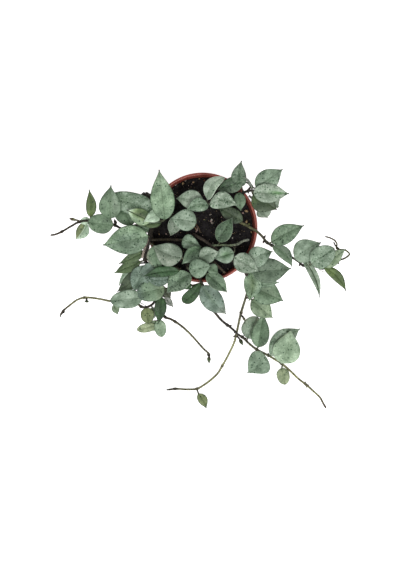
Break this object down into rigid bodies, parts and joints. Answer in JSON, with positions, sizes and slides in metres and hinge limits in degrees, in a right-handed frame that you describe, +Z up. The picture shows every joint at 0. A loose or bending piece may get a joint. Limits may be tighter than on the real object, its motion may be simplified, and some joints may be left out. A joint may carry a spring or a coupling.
{
  "type": "potted trailing plant",
  "caption": "Trailing foliage plant in a tapered round nursery pot: filled with potting mix, with leafy stems that arch over the rim and hang or lie outside it.",
  "frame": {"origin": "middle of the pot's flat underside, on the pot's axis", "axes": "+Z up along the pot's axis; -Y towards the longest trailing vines, which is down in the picture; +X to the picture's right"},
  "size_m": [0.298, 0.25, 0.1217],
  "materials": {
    "pot": "thin brick-red moulded plastic, satin",
    "soil": "dark potting mix of peat and bark chips, matt",
    "foliage": "grey-green waxy leaves with darker flecks",
    "foliage_silver": "silver-green waxy leaves with green flecks"
  },
  "bodies": {
    "root": {"pot": "pot", "soil": "soil", "vine_west": "foliage", "vine_northwest": "foliage", "vine_southwest": "foliage", "vine_south": "foliage", "vine_southeast": "foliage", "vine_curved": "foliage_silver", "vine_east": "foliage_silver", "vine_northeast": "foliage_silver", "stem_centre_north": "foliage_silver", "stem_centre_west": "foliage_silver", "stem_centre_south": "foliage_silver"}
  },
  "joints": []
}
